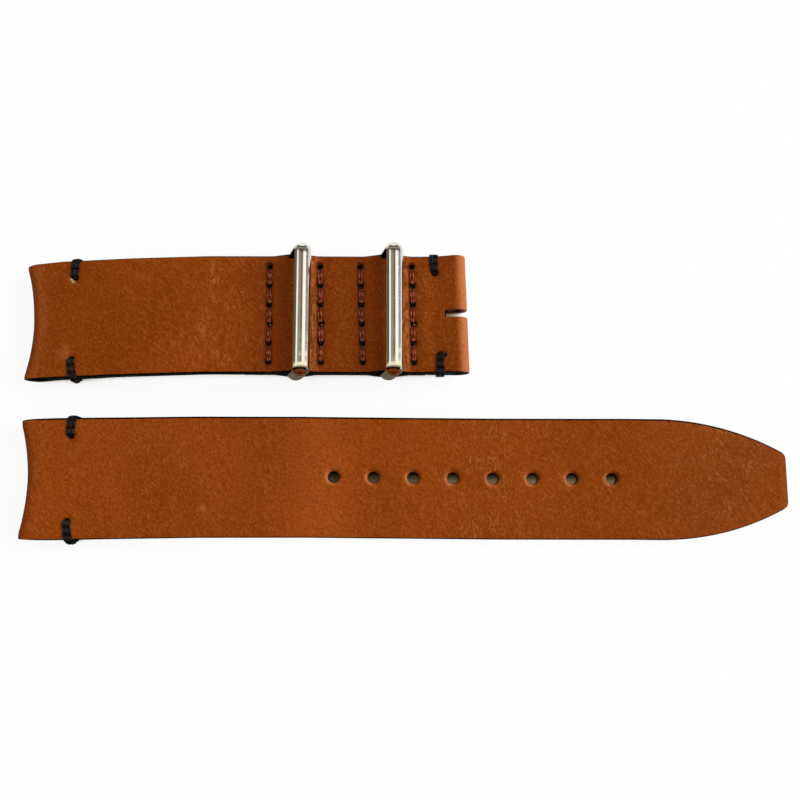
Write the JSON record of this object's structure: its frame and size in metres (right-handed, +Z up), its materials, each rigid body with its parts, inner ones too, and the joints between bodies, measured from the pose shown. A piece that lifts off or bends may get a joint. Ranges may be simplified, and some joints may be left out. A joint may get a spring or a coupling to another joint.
{
  "type": "leather watch strap",
  "caption": "Two-piece leather watch strap with hollow lug ends, sewn-in metal keeper rings, a slotted buckle fold and a punched tapering tail.",
  "frame": {"origin": "middle of the ground under both halves, which lie side by side with their outer faces up", "axes": "+X from the lug ends to the buckle fold and the tail, +Y from the long half to the short half, +Z up from the table"},
  "size_m": [0.1284, 0.0492, 0.0097],
  "materials": {
    "tan_calf": "vegetable-tanned calf, cognac, fine grain, lightly waxed",
    "black_calf": "matt black lining calf with painted edges",
    "stiffener_sheet": "non-woven strap stiffener",
    "padding_leather": "skived undyed filler leather",
    "brown_thread": "doubled red-brown linen thread, waxed",
    "black_thread": "black waxed thread",
    "polished_steel": "polished nickel-plated steel"
  },
  "bodies": {
    "short_half": {"short_top_leather": "tan_calf", "short_stiffener": "stiffener_sheet", "short_lining": "black_calf", "keeper_backing": "black_calf", "seam_thread_1": "brown_thread", "seam_thread_2": "brown_thread", "seam_thread_3": "brown_thread", "seam_thread_4": "brown_thread", "short_lug_tack_back": "black_thread", "short_lug_tack_front": "black_thread", "buckle_tack_back": "black_thread", "buckle_tack_front": "black_thread"},
    "keeper_1": {"keeper_ring_1": "polished_steel"},
    "keeper_2": {"keeper_ring_2": "polished_steel"},
    "long_half": {"long_top_leather": "tan_calf", "long_padding": "padding_leather", "long_stiffener": "stiffener_sheet", "long_lining": "black_calf", "long_lug_tack_back": "black_thread", "long_lug_tack_front": "black_thread"}
  },
  "joints": [
    {"name": "keeper_1_turn", "type": "hinge", "parent": "short_half", "child": "keeper_1", "pos_m": [-0.018, 0.01286, 0.00319], "axis": [0, 1, 0], "range_deg": [-69, 35]},
    {"name": "keeper_2_turn", "type": "hinge", "parent": "short_half", "child": "keeper_2", "pos_m": [-0.0024, 0.01286, 0.00319], "axis": [0, 1, 0], "range_deg": [-65, 39]},
    {"name": "long_half_lift", "type": "slide", "parent": "short_half", "child": "long_half", "axis": [0, 0, 1], "range_m": [0, 0.03]}
  ]
}
